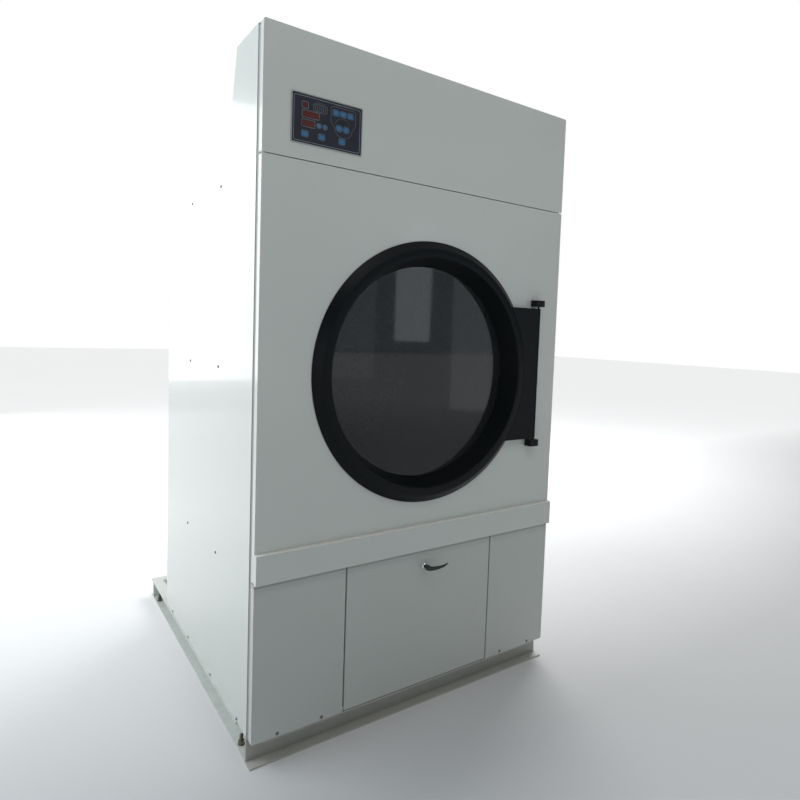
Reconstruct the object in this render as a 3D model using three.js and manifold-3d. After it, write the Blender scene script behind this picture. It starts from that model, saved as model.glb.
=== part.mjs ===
// Large free-standing tumble dryer for laundries, on a steel channel base.
// Millimetres, +X to the right, +Y to the back, +Z up. The front panel's face is laid out at Y = 0
// and the floor at Z = 0; the whole part is moved at the end so that its box is centred over the origin.
import * as THREE from 'three';
import Module from 'manifold-3d';

const wasm = await Module();
wasm.setup();
const { Manifold, Mesh } = wasm;

// ---- driving dimensions ----
const WIDTH = 1200;
const HEIGHT = 2130;
const HALF = WIDTH / 2;
const SHEET = 1.5;               // cabinet sheet steel
const GAP = 0.3;                 // clearance between neighbouring pieces
const TRAY = 22;                 // depth of the folded front panels
const SIDE_FRONT = 42;           // where the side panels start
const SIDE_BACK = 1070;          // back edge of the side panels
const SEAM_Z = 1765;             // between the cabinet's sides and roof, and the hood
const FASCIA_Z = 1774;           // between the main panel and the control fascia
const SEAM = 3;
const HOOD_BOTTOM_Y = 318;       // depth of the upper cabinet where it meets the roof
const HOOD_TOP_Y = 222;

const BASE_HALF = 602.5;          // the base stands just proud of the cabinet's sides
const BASE_FRONT = 1.5;
const BASE_BACK = 1374;
const BASE_H = 76.4;
const FLANGE = 42.5;             // channel flange, web included
const WEB = 6;

const LEDGE_LOW = 557;
const LEDGE_HIGH = 645.5;
const LEDGE_OUT = 15.5;
const LOWER_Z = 76.9;            // bottom of the two fixed lower panels
const LOWER_TOP = 554;
const SEAM_X = 300;              // lower seams, either side of the middle
const SEAM_HALF = 2.75;

const DOOR_Z = 1160;             // height of the door and drum axis
const RIM_R = 437;
const RIDGE_R = 410;
const RIDGE_Y = -25;
const LIP_R = 383;
const LIP_Y = -27;
const GLASS_SEEN_R = 357;
const GLASS_Y = 44;
const GLASS_T = 6;
const HOLE_R = 398;              // loading hole in the front panel
const PIN_X = 483;               // door hinge axis
const PIN_Y = -15;
const PIN_R = 4;
const PLATE_LOW = 908;
const PLATE_HIGH = 1400;

const DRUM_R = 490;
const DRUM_FRONT = 80;
const DRUM_BACK = 880;
const DRUM_T = 3;
const DRUM_MOUTH_R = 407;
const SHAFT_R = 35;
const PULLEY_R = 300;
const SMALL_PULLEY_R = 60;
const BELT_Y = [1104, 1146];
const MOTOR_X = 220;
const MOTOR_Z = 235;

const FAN_X = -150;
const FAN_Z = 330;
const FAN_R = 220;
const FAN_Y = [872, 1060];
const DUCT_X = -400;
const DUCT_Z = 330;
const DUCT_R = 95;

const LINT_PIVOT = [6, 86];      // Y and Z of the lint door's hinge line
const LATCH_Z = 497;

const PANEL_X = [-515, -294];    // control sheet
const PANEL_Z = [1821, 1956];

// ---- materials ----
const paint = (name, color, roughness, metalness) => {
  const m = new THREE.MeshStandardMaterial({ color, roughness, metalness });
  m.name = name;
  return m;
};
const LOOK = {
  cream: ['cream_powder_coat', 0xe9e9e4, 0.35, 0.1],
  black: ['black_door_paint', 0x1c1f21, 0.4, 0.2],
  chrome: ['chrome', 0xc9ccce, 0.15, 1.0],
  zinc: ['zinc_steel', 0xa9adb0, 0.4, 0.9],
  stainless: ['drum_stainless', 0xb5b8ba, 0.35, 0.95],
  glass: ['door_glass', 0x2b3033, 0.08, 0.0],
  rubber: ['black_rubber', 0x17181a, 0.85, 0.0],
  galvanised: ['galvanised_sheet', 0xa2a7aa, 0.5, 0.8],
  motor: ['motor_grey_paint', 0x5d6a72, 0.5, 0.3],
  overlay: ['control_overlay', 0x23262f, 0.4, 0.0],
  key: ['key_blue', 0x3c78aa, 0.45, 0.0],
  iron: ['cast_pulley', 0x3a3d40, 0.6, 0.7],
};

// ---- solid helpers ----
const toSolid = (geometry) => {
  const g = geometry.index ? geometry.toNonIndexed() : geometry;
  const pos = g.attributes.position;
  const seen = new Map();
  const verts = [];
  const tris = [];
  for (let i = 0; i < pos.count; i += 1) {
    const p = [pos.getX(i), pos.getY(i), pos.getZ(i)].map((v) => Math.round(v * 1e4) / 1e4);
    const key = p.join(',');
    if (!seen.has(key)) {
      seen.set(key, verts.length / 3);
      verts.push(...p);
    }
    tris.push(seen.get(key));
  }
  const kept = [];
  for (let i = 0; i < tris.length; i += 3) {
    const [a, b, c] = tris.slice(i, i + 3);
    if (a !== b && b !== c && a !== c) kept.push(a, b, c);
  }
  const mesh = new Mesh({
    numProp: 3,
    vertProperties: new Float32Array(verts),
    triVerts: new Uint32Array(kept),
  });
  return new Manifold(mesh);
};

const fromSolid = (solid) => {
  const mesh = solid.getMesh();
  const g = new THREE.BufferGeometry();
  g.setAttribute('position', new THREE.BufferAttribute(new Float32Array(mesh.vertProperties), 3));
  g.setIndex(new THREE.BufferAttribute(new Uint32Array(mesh.triVerts), 1));
  const flat = g.toNonIndexed();
  flat.computeVertexNormals();
  return flat;
};

const cut = (a, ...rest) => rest.reduce((s, b) => s.subtract(b), a);
const join = (a, ...rest) => rest.reduce((s, b) => s.add(b), a);

// Box between two corners.
const box = (x0, x1, y0, y1, z0, z1) => {
  const g = new THREE.BoxGeometry(x1 - x0, y1 - y0, z1 - z0);
  g.translate((x0 + x1) / 2, (y0 + y1) / 2, (z0 + z1) / 2);
  return toSolid(g);
};

const shapeOf = (points) => new THREE.Shape(points.map(([a, b]) => new THREE.Vector2(a, b)));

// Outline in X and Y, raised from z0 to z1.
const raiseZ = (points, z0, z1) => {
  const g = new THREE.ExtrudeGeometry(shapeOf(points), { depth: z1 - z0, bevelEnabled: false });
  g.translate(0, 0, z0);
  return toSolid(g);
};

// Outline in X and Z, running from y0 to y1.
const runY = (points, y0, y1) => {
  const g = new THREE.ExtrudeGeometry(shapeOf(points), { depth: y1 - y0, bevelEnabled: false });
  g.rotateX(Math.PI / 2);
  g.translate(0, y1, 0);
  return toSolid(g);
};

// Outline in Y and Z, running from x0 to x1.
const runX = (points, x0, x1) => {
  const g = new THREE.ExtrudeGeometry(shapeOf(points), { depth: x1 - x0, bevelEnabled: false });
  g.rotateX(Math.PI / 2);
  g.rotateZ(Math.PI / 2);
  g.translate(x0, 0, 0);
  return toSolid(g);
};

// Closed profile of [radius, y] turned about a line parallel to Y through (x, z).
const turnY = (profile, x, z, segments) => {
  const points = [...profile, profile[0]].map(([r, y]) => new THREE.Vector2(r, y));
  const g = new THREE.LatheGeometry(points, segments);
  g.translate(x, 0, z);
  const solid = toSolid(g);
  return solid.volume() < 0 ? toSolid(flip(g)) : solid;
};

const flip = (g) => {
  const n = g.toNonIndexed();
  const p = n.attributes.position;
  for (let i = 0; i < p.count; i += 3) {
    const a = [p.getX(i), p.getY(i), p.getZ(i)];
    p.setXYZ(i, p.getX(i + 1), p.getY(i + 1), p.getZ(i + 1));
    p.setXYZ(i + 1, ...a);
  }
  return n;
};

const discY = (r, x, z, y0, y1, segments = 32) => {
  const g = new THREE.CylinderGeometry(r, r, y1 - y0, segments);
  g.translate(x, (y0 + y1) / 2, z);
  return toSolid(g);
};

const discZ = (r, x, y, z0, z1, segments = 16) => {
  const g = new THREE.CylinderGeometry(r, r, z1 - z0, segments);
  g.rotateX(Math.PI / 2);
  g.translate(x, y, (z0 + z1) / 2);
  return toSolid(g);
};

const discX = (r, y, z, x0, x1, segments = 16) => {
  const g = new THREE.CylinderGeometry(r, r, x1 - x0, segments);
  g.rotateZ(Math.PI / 2);
  g.translate((x0 + x1) / 2, y, z);
  return toSolid(g);
};

// Rounded rectangle in two axes, as points.
const roundRect = (a0, a1, b0, b1, r, steps = 4) => {
  const out = [];
  const corners = [[a1 - r, b1 - r, 0], [a0 + r, b1 - r, 90], [a0 + r, b0 + r, 180], [a1 - r, b0 + r, 270]];
  for (const [ca, cb, start] of corners) {
    for (let i = 0; i <= steps; i += 1) {
      const t = ((start + (90 * i) / steps) * Math.PI) / 180;
      out.push([ca + r * Math.cos(t), cb + r * Math.sin(t)]);
    }
  }
  return out;
};

const circle = (a, b, r, n) => {
  const turn = (i) => (2 * Math.PI * i) / n;
  return Array.from({ length: n }, (_, i) => [a + r * Math.cos(turn(i)), b + r * Math.sin(turn(i))]);
};

// Folded sheet tray, face towards the front, open at the back.
const tray = (x0, x1, z0, z1, radius = 3) => {
  const inner = Math.max(radius - SHEET, 1);
  const outside = runY(roundRect(x0, x1, z0, z1, radius, 3), 0, TRAY);
  const inside = runY(
    roundRect(x0 + SHEET, x1 - SHEET, z0 + SHEET, z1 - SHEET, inner, 3),
    SHEET,
    TRAY + 5,
  );
  return outside.subtract(inside);
};

const group = new THREE.Group();
group.name = 'tumble_dryer';
const add = (name, solid, look) => {
  const mesh = new THREE.Mesh(fromSolid(solid), paint(...LOOK[look]));
  mesh.name = name;
  group.add(mesh);
};

// ---- base frame: channels with their flanges turned outwards ----
const channel = (edge, web, low = 0) => [
  [edge, low], [web, low], [web, low + BASE_H], [edge, low + BASE_H],
  [edge, low + BASE_H - WEB], [web + Math.sign(edge - web) * WEB, low + BASE_H - WEB],
  [web + Math.sign(edge - web) * WEB, low + WEB], [edge, low + WEB],
];
const BOLTS = { front: 120, rear: 1270 };
const BOLT_X = HALF - 13;
const SLOT = { x: HALF - 57, y: 11 };    // one slot only, at the right end of the front flange
const TOP_FLANGE_START = 128;    // the side channels' top flange is cut back at the front bolts
const inner = BASE_HALF - FLANGE;
const frontSlot = raiseZ(roundRect(SLOT.x - 9, SLOT.x + 9, SLOT.y - 5, SLOT.y + 5, 4.9), -5, WEB + 5);
const endRelief = (s) => {
  const x = [s * (BASE_HALF - 40), s * (BASE_HALF + 5)];
  return box(Math.min(...x), Math.max(...x), -5, BASE_FRONT + FLANGE - WEB, BASE_H - WEB, BASE_H + 5);
};
const frontChannel = runX(channel(BASE_FRONT, BASE_FRONT + FLANGE), -BASE_HALF, BASE_HALF);
add('base_channel_front', cut(
  frontChannel, frontSlot, endRelief(-1), endRelief(1),
), 'cream');
add('base_channel_rear', runX(channel(BASE_BACK, BASE_BACK - FLANGE), -BASE_HALF, BASE_HALF), 'cream');
for (const [side, s] of [['left', -1], ['right', 1]]) {
  const section = channel(s * BASE_HALF, s * inner);
  const rail = runY(section, BASE_FRONT + FLANGE + GAP, BASE_BACK - FLANGE - GAP);
  const clear = [s * (BASE_HALF + 5), s * (inner + WEB)];
  const access = box(Math.min(...clear), Math.max(...clear), -5, TOP_FLANGE_START, BASE_H - WEB, BASE_H + 5);
  const holes = Object.values(BOLTS).map((y) => discZ(6.5, s * BOLT_X, y, -5, WEB + 5));
  add(`base_channel_${side}`, cut(rail, access, ...holes), 'cream');
  for (const [end, y] of Object.entries(BOLTS)) {
    const shank = discZ(6, s * BOLT_X, y, 1, 38, 12);
    const washer = discZ(11, s * BOLT_X, y, WEB + GAP, WEB + 3, 18);
    const nut = discZ(10, s * BOLT_X, y, WEB + 2, WEB + 14, 6);
    add(`anchor_bolt_${side}_${end}`, join(shank, washer, nut), 'zinc');
  }
}
const CROSS_X = BASE_HALF - FLANGE - GAP;
add('base_crossmember', runX(channel(1074, 1074 + FLANGE), -CROSS_X, CROSS_X), 'cream');

// ---- cabinet ----
const CABINET_Z = BASE_H + GAP;
for (const [side, s] of [['left', -1], ['right', 1]]) {
  const o = s * HALF;
  const i = s * (HALF - SHEET);
  const lip = s * (HALF - 28);
  const outline = [
    [o, SIDE_FRONT], [o, SIDE_BACK], [lip, SIDE_BACK], [lip, SIDE_BACK - SHEET],
    [i, SIDE_BACK - SHEET], [i, SIDE_FRONT],
  ];
  add(`side_panel_${side}`, raiseZ(s > 0 ? outline : outline.reverse(), CABINET_Z, SEAM_Z), 'cream');
  const a = s * (HALF - SHEET - GAP);
  const b = s * (HALF - SHEET - GAP - 2);
  const c = s * (HALF - 50);
  const y0 = TRAY + GAP;
  const post = [[a, y0], [a, 78], [b, 78], [b, y0 + 2], [c, y0 + 2], [c, y0]];
  add(`front_post_${side}`, raiseZ(post, CABINET_Z, HEIGHT - 6), 'galvanised');
}

const roofX = HALF - SHEET - GAP;
const roof = cut(
  box(-roofX, roofX, 78.5, SIDE_BACK - 3.6, SEAM_Z - 25, SEAM_Z),
  box(-roofX + SHEET, roofX - SHEET, 70, SIDE_BACK, SEAM_Z - 30, SEAM_Z - SHEET),
);
add('top_cover', roof, 'cream');

const hoodSide = [
  [SIDE_FRONT, SEAM_Z + GAP], [HOOD_BOTTOM_Y, SEAM_Z + GAP], [HOOD_TOP_Y, HEIGHT], [SIDE_FRONT, HEIGHT],
];
const hoodHollow = [
  [0, SEAM_Z - 10], [HOOD_BOTTOM_Y - 0.5, SEAM_Z - 10],
  [HOOD_TOP_Y - SHEET, HEIGHT - SHEET], [0, HEIGHT - SHEET],
];
const hood = cut(runX(hoodSide, -HALF, HALF), runX(hoodHollow, -HALF + SHEET, HALF - SHEET));
const roofTongue = box(-HALF + 3, HALF - 3, TRAY + GAP, SIDE_FRONT + 1, HEIGHT - SHEET, HEIGHT);
add('hood_shell', join(hood, roofTongue), 'cream');

const rearX = HALF - SHEET - GAP;
const REAR_Y = [SIDE_BACK - SHEET - GAP - SHEET, SIDE_BACK - SHEET - GAP];
const rearSheet = box(-rearX, rearX, ...REAR_Y, CABINET_Z, SEAM_Z - GAP);
const rearCut = [
  discY(60, 0, DOOR_Z, REAR_Y[0] - 5, REAR_Y[1] + 5),
  discY(30, FAN_X, FAN_Z, REAR_Y[0] - 5, REAR_Y[1] + 5, 24),
  discY(DUCT_R + 1, DUCT_X, DUCT_Z, REAR_Y[0] - 5, REAR_Y[1] + 5),
];
add('rear_panel', cut(rearSheet, ...rearCut), 'cream');

// ---- front ----
const mainPanel = cut(
  tray(-HALF, HALF, LEDGE_LOW + 0.5, FASCIA_Z - SEAM / 2),
  discY(HOLE_R, 0, DOOR_Z, -5, 10, 72),
);
add('front_panel', mainPanel, 'cream');

const fascia = cut(
  tray(-HALF, HALF, FASCIA_Z + SEAM / 2, HEIGHT, 6),
  box(PANEL_X[0] + 10, PANEL_X[1] - 10, -5, 10, PANEL_Z[0] + 10, PANEL_Z[1] - 10),
);
add('control_fascia', fascia, 'cream');

const ledge = cut(
  box(-HALF, HALF, -LEDGE_OUT, -GAP, LEDGE_LOW, LEDGE_HIGH),
  box(-HALF + SHEET, HALF - SHEET, -LEDGE_OUT + SHEET, 5, LEDGE_LOW + SHEET, LEDGE_HIGH - SHEET),
);
add('ledge_trim', ledge, 'cream');

add('lower_panel_left', tray(-HALF, -SEAM_X - SEAM_HALF, LOWER_Z, LOWER_TOP), 'cream');
add('lower_panel_right', tray(SEAM_X + SEAM_HALF, HALF, LOWER_Z, LOWER_TOP), 'cream');

// Lint door: a tray hung on two pins at its foot.
const doorX = SEAM_X - SEAM_HALF;
const [PIVOT_Y, PIVOT_Z] = LINT_PIVOT;
const lintDoor = cut(
  tray(-doorX, doorX, 80, LOWER_TOP - 1),
  discX(3.4, PIVOT_Y, PIVOT_Z, -doorX - 5, doorX + 5),
  discY(8, 0, LATCH_Z, -5, 10, 24),
);
add('lint_door', lintDoor, 'cream');
for (const [side, s] of [['left', -1], ['right', 1]]) {
  const near = s * (SEAM_X - 1.5);
  const far = s * (SEAM_X + 1.5);
  const x = [Math.min(near, far), Math.max(near, far)];
  const ear = box(...x, 2, 20, CABINET_Z, 94);
  const end = s * (doorX - 6);
  const pin = discX(3, PIVOT_Y, PIVOT_Z, Math.min(end, near), Math.max(end, near));
  add(`lint_hinge_${side}`, join(ear, pin), 'zinc');
}

// Quarter-turn latch of the lint door.
const bossProfile = [
  [7.3, -GAP], [14, -GAP], [14, -4], [12.5, -9], [10, -12], [7.3, -12],
];
add('latch_boss', turnY(bossProfile, 0, LATCH_Z, 28), 'chrome');
const leverPath = new THREE.CatmullRomCurve3([
  new THREE.Vector3(0, -26, LATCH_Z - 2),
  new THREE.Vector3(14, -30, LATCH_Z - 4),
  new THREE.Vector3(38, -33, LATCH_Z - 4),
  new THREE.Vector3(60, -35, LATCH_Z - 1),
  new THREE.Vector3(74, -37, LATCH_Z + 6),
]);
const leverSection = shapeOf(circle(0, 0, 1, 10).map(([a, b]) => [a * 5.5, b * 3]));
const handle = toSolid(new THREE.ExtrudeGeometry(leverSection, {
  steps: 12,
  extrudePath: leverPath,
  bevelEnabled: false,
}));
const latchShaft = discY(7, 0, LATCH_Z, -25, 14, 24);
const knuckle = discY(9.5, 0, LATCH_Z, -31, -19, 24);
const cam = box(-7, 34, 10, 13.5, LATCH_Z - 8, LATCH_Z + 8);
add('latch_lever', join(latchShaft, knuckle, handle, cam), 'chrome');

// ---- loading door ----
const ringProfile = [
  [RIM_R, -0.5], [RIM_R, -4], [RIDGE_R + 1.5, RIDGE_Y + 0.8], [RIDGE_R - 1.5, RIDGE_Y - 0.3],
  [LIP_R + 1.5, LIP_Y], [LIP_R - 1, LIP_Y + 1.2], [GLASS_SEEN_R, GLASS_Y - 3],
  [GLASS_SEEN_R, GLASS_Y - GAP], [376, GLASS_Y - GAP], [378, 20], [378, -0.5],
];
add('door_ring', turnY(ringProfile, 0, DOOR_Z, 96), 'black');

const envelope = turnY([
  [0, 1], [RIM_R + 0.4, 1], [RIM_R + 0.4, -4.2], [RIDGE_R + 1.9, RIDGE_Y + 0.6],
  [RIDGE_R - 1, RIDGE_Y - 0.8], [300, -60], [0, -60],
], 0, DOOR_Z, 96);
const plateBody = runY(roundRect(330, PIN_X, PLATE_LOW, PLATE_HIGH, 2), -22, -16);
const barrel = discZ(8, PIN_X, PIN_Y, PLATE_LOW, PLATE_HIGH, 24);
const plate = cut(
  join(cut(plateBody, envelope), barrel),
  discZ(PIN_R + GAP, PIN_X, PIN_Y, PLATE_LOW - 5, PLATE_HIGH + 5, 20),
);
add('door_hinge_plate', plate, 'black');

const hingeBlock = (z0, z1, pinEnd) => {
  const body = raiseZ(
    [[457, -GAP], [455, -6], [458, -27], [463, -30], [500, -30], [504, -26], [505, -GAP]],
    z0,
    z1,
  );
  const pin = discZ(PIN_R, PIN_X, PIN_Y, Math.min(pinEnd, z0 + 2), Math.max(pinEnd, z1 - 2), 20);
  return join(body, pin);
};
add('hinge_block_upper', hingeBlock(1408, 1431, 1376), 'black');
add('hinge_block_lower', hingeBlock(878, 902, 934), 'black');

add('door_glass', discY(366, 0, DOOR_Z, GLASS_Y, GLASS_Y + GLASS_T, 72), 'glass');
const GLASS_BACK = GLASS_Y + GLASS_T;
add('glass_retainer', turnY([
  [350, GLASS_BACK + GAP], [367.4, GLASS_BACK + GAP], [367.4, GLASS_Y], [376, GLASS_Y],
  [376, GLASS_BACK + 4], [350, GLASS_BACK + 4],
], 0, DOOR_Z, 48), 'zinc');
add('door_seal', turnY([
  [379.2, -0.3], [392, -0.3], [393, 4], [387, 12], [379.2, 10],
], 0, DOOR_Z, 56), 'rubber');

// ---- drum and its drive ----
add('drum_collar', turnY([
  [HOLE_R, SHEET + GAP], [436, SHEET + GAP], [436, 3.6], [HOLE_R + 2, 3.6], [HOLE_R + 2, 98], [HOLE_R, 98],
], 0, DOOR_Z, 48), 'galvanised');

const HUB_R = 40;
const shell = turnY([
  [DRUM_MOUTH_R, DRUM_FRONT], [DRUM_R, DRUM_FRONT], [DRUM_R, DRUM_BACK], [HUB_R, DRUM_BACK],
  [HUB_R, DRUM_BACK - DRUM_T], [DRUM_R - DRUM_T, DRUM_BACK - DRUM_T],
  [DRUM_R - DRUM_T, DRUM_FRONT + DRUM_T], [DRUM_MOUTH_R, DRUM_FRONT + DRUM_T],
], 0, DOOR_Z, 56);

// Lifter ribs, welded to the drum wall and standing inwards.
const LIFTERS = 3;
const lifter = (i) => {
  const wall = DRUM_R - DRUM_T + 1;
  const vane = new THREE.ExtrudeGeometry(
    shapeOf([[wall - 4, -50], [wall, 0], [wall - 4, 50], [wall - 85, 13], [wall - 92, 0], [wall - 85, -13]]),
    { depth: 700, bevelEnabled: false },
  );
  vane.rotateX(Math.PI / 2);
  vane.rotateY(-(2 * Math.PI * i) / LIFTERS - Math.PI / 2);
  vane.translate(0, 830, DOOR_Z);
  return toSolid(vane);
};
add('drum_shell', join(shell, ...Array.from({ length: LIFTERS }, (_, i) => lifter(i))), 'stainless');

add('drum_shaft', turnY([
  [0, 868], [HUB_R - GAP, 868], [HUB_R - GAP, DRUM_BACK + GAP], [165, DRUM_BACK + GAP],
  [165, 892], [70, 896], [SHAFT_R + 12, 930], [SHAFT_R, 930], [SHAFT_R, 1165], [0, 1165],
], 0, DOOR_Z, 32), 'zinc');

const housing = cut(
  join(
    discY(72, 0, DOOR_Z, 945, 1060, 32),
    box(-130, 130, 1046, REAR_Y[0] - GAP, DOOR_Z - 130, DOOR_Z + 130),
  ),
  discY(SHAFT_R + GAP + 0.2, 0, DOOR_Z, 900, 1100, 32),
);
add('bearing_housing', housing, 'iron');

add('drum_pulley', turnY([
  [SHAFT_R + GAP, 1092], [62, 1092], [62, 1118], [PULLEY_R - 16, 1118], [PULLEY_R - 16, 1100],
  [PULLEY_R, 1100], [PULLEY_R, 1150], [PULLEY_R - 16, 1150], [PULLEY_R - 16, 1130], [62, 1130],
  [62, 1158], [SHAFT_R + GAP, 1158],
], 0, DOOR_Z, 48), 'iron');

// Belt: the closed line that wraps both pulleys.
const beltLoop = (extra) => {
  const R = PULLEY_R + extra;
  const r = SMALL_PULLEY_R + extra;
  const dx = MOTOR_X;
  const dz = MOTOR_Z - DOOR_Z;
  const away = Math.atan2(dz, dx);
  const half = Math.acos((PULLEY_R - SMALL_PULLEY_R) / Math.hypot(dx, dz));
  const points = [];
  const arc = (cx, cz, rad, from, to, n) => {
    for (let i = 0; i <= n; i += 1) {
      const t = from + ((to - from) * i) / n;
      points.push([cx + rad * Math.cos(t), cz + rad * Math.sin(t)]);
    }
  };
  arc(0, DOOR_Z, R, away + half, away - half + 2 * Math.PI, 36);
  arc(MOTOR_X, MOTOR_Z, r, away - half, away + half, 12);
  return points;
};
add('drive_belt', cut(
  runY(beltLoop(9), ...BELT_Y),
  runY(beltLoop(0.8), BELT_Y[0] - 5, BELT_Y[1] + 5),
), 'rubber');

// Geared motor on a foot plate that spans the cross member and the rear channel.
const MOTOR_SHAFT = 14;
add('drive_pulley', turnY([
  [0, 1096], [SMALL_PULLEY_R - 12, 1096], [SMALL_PULLEY_R, 1100], [SMALL_PULLEY_R, 1150],
  [30, 1150], [30, 1156], [MOTOR_SHAFT, 1156], [MOTOR_SHAFT, 1185], [0, 1185],
], MOTOR_X, MOTOR_Z, 28), 'iron');
const gearbox = box(MOTOR_X - 85, MOTOR_X + 85, 1160, 1235, MOTOR_Z - 90, MOTOR_Z + 90);
const motorBody = discY(78, MOTOR_X, MOTOR_Z, 1230, 1366, 32);
const foot = box(MOTOR_X - 110, MOTOR_X + 110, 1082, 1372, BASE_H + GAP, BASE_H + 9);
const leg = box(MOTOR_X - 60, MOTOR_X + 60, 1165, 1360, BASE_H + 8, MOTOR_Z - 60);
const terminalBox = box(MOTOR_X - 35, MOTOR_X + 35, 1262, 1340, MOTOR_Z + 60, MOTOR_Z + 112);
add('drive_gearmotor', cut(
  join(gearbox, motorBody, foot, leg, terminalBox),
  discY(MOTOR_SHAFT + GAP, MOTOR_X, MOTOR_Z, 1150, 1188, 24),
), 'motor');

// ---- air path ----
// Lint compartment behind the lint door, open to the front and to the drum above.
const lintBox = cut(
  box(-285, 285, 46, 430, CABINET_Z, 560),
  box(-285 + SHEET, 285 - SHEET, 40, 430 - SHEET, CABINET_Z + SHEET, 570),
  box(-200, 60, 420, 440, 220, 440),
);
add('lint_chamber', lintBox, 'galvanised');
const screenFrame = box(-278, 278, 200, 212, CABINET_Z + SHEET + GAP, 545);
const windows = [];
for (let i = 0; i < 3; i += 1) {
  const x = -262 + i * 178;
  for (let j = 0; j < 3; j += 1) {
    const z = 94 + j * 148;
    windows.push(box(x, x + 168, 190, 220, z, z + 138));
  }
}
add('lint_screen', cut(screenFrame, ...windows), 'zinc');

const ductBox = (t, y0, y1) => box(
  DUCT_X - 110 + t, FAN_X, y0 + t, y1 - t, DUCT_Z - 110 + t, DUCT_Z + 110 - t,
);
const housingOut = join(
  discY(FAN_R, FAN_X, FAN_Z, ...FAN_Y, 36),
  ductBox(0, ...FAN_Y),
  discY(DUCT_R, DUCT_X, DUCT_Z, FAN_Y[1] - 5, 1180, 28),
);
add('blower_housing', cut(
  housingOut,
  discY(FAN_R - SHEET, FAN_X, FAN_Z, FAN_Y[0] + SHEET, FAN_Y[1] - SHEET, 36),
  ductBox(SHEET, ...FAN_Y),
  discY(130, FAN_X, FAN_Z, FAN_Y[0] - 10, FAN_Y[0] + 10, 28),
  discY(26, FAN_X, FAN_Z, FAN_Y[1] - 10, FAN_Y[1] + 10, 24),
  discY(DUCT_R - SHEET, DUCT_X, DUCT_Z, FAN_Y[1] - 20, 1200, 28),
), 'galvanised');

const BLADES = 10;
const impellerParts = [
  discY(165, FAN_X, FAN_Z, 1030, 1033, 28),
  discY(32, FAN_X, FAN_Z, 960, 1036, 18),
  discY(12, FAN_X, FAN_Z, 1000, 1108, 14),
];
for (let i = 0; i < BLADES; i += 1) {
  const blade = new THREE.BoxGeometry(138, 118, 3);
  blade.translate(94, 972, 0);
  blade.rotateY((2 * Math.PI * i) / BLADES + 0.2);
  blade.translate(FAN_X, 0, FAN_Z);
  impellerParts.push(toSolid(blade));
}
add('blower_impeller', join(...impellerParts), 'zinc');

const fanMotor = cut(
  join(
    discY(95, FAN_X, FAN_Z, REAR_Y[1] + GAP, 1082, 32),
    discY(72, FAN_X, FAN_Z, 1080, 1270, 32),
    box(FAN_X - 32, FAN_X + 32, 1110, 1190, FAN_Z + 55, FAN_Z + 108),
  ),
  discY(12.6, FAN_X, FAN_Z, 1050, 1112, 14),
);
add('blower_motor', fanMotor, 'motor');

// Heater battery above the drum.
const heater = cut(
  box(-230, 230, 330, 760, 1672, 1736),
  box(-215, 215, 345, 745, 1660, 1734),
);
add('heater_box', heater, 'galvanised');

// ---- controls ----
const controlBox = cut(
  box(PANEL_X[0] - 2, PANEL_X[1] + 2, SHEET + GAP, 60, PANEL_Z[0] - 2, PANEL_Z[1] + 2),
  box(PANEL_X[0], PANEL_X[1], 0, 58, PANEL_Z[0], PANEL_Z[1]),
);
add('control_box', controlBox, 'galvanised');

const frameSide = (grow) => roundRect(
  PANEL_X[0] - grow, PANEL_X[1] + grow, PANEL_Z[0] - grow, PANEL_Z[1] + grow, 3,
);
add('control_bezel', cut(
  runY(frameSide(3.2), -2.6, -GAP),
  runY(frameSide(0.3), -5, 5),
), 'zinc');

// Keys, placed as fractions of the sheet: across from its left edge, down from its top.
const SHEET_W = PANEL_X[1] - PANEL_X[0];
const SHEET_H = PANEL_Z[1] - PANEL_Z[0];
const KEYS = [
  ['key_top_1', 0.613, 0.218, 18.5, 15, 3],
  ['key_top_2', 0.719, 0.215, 18.5, 15, 3],
  ['key_top_3', 0.829, 0.216, 18.5, 15, 3],
  ['key_oval_1', 0.664, 0.53, 20, 16.5, 8.1],
  ['key_oval_2', 0.77, 0.53, 20, 16.5, 8.1],
  ['key_square_1', 0.178, 0.8, 19, 15.5, 3],
  ['key_square_2', 0.413, 0.8, 19, 15.5, 3],
  ['key_square_3', 0.713, 0.8, 19, 15.5, 3],
  ['key_round_1', 0.374, 0.576, 11, 11, 5.4],
  ['key_round_2', 0.46, 0.578, 11, 11, 5.4],
];
const keyOutline = (u, v, w, h, r, grow) => {
  const x = PANEL_X[0] + u * SHEET_W;
  const z = PANEL_Z[1] - v * SHEET_H;
  return roundRect(x - w / 2 - grow, x + w / 2 + grow, z - h / 2 - grow, z + h / 2 + grow, r + grow, 3);
};
const overlayHoles = KEYS.map(([, ...k]) => runY(keyOutline(...k, GAP), -5, 5));
add('control_overlay', cut(runY(frameSide(0), -1.6, -GAP), ...overlayHoles), 'overlay');
for (const [name, ...k] of KEYS) {
  add(name, runY(keyOutline(...k, 0), -2.1, -0.9), 'key');
}

// ---- move to the shared frame: box centred over the origin, floor at Z = 0 ----
const FRONT_MOST = -40;          // tip of the latch lever
const middleY = (FRONT_MOST + BASE_BACK) / 2;
for (const mesh of group.children) mesh.geometry.translate(0, -middleY, 0);

export default group;
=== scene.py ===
# Large laundry tumble dryer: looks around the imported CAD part. Metres, +X right, +Y back, +Z up.
import math

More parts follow.
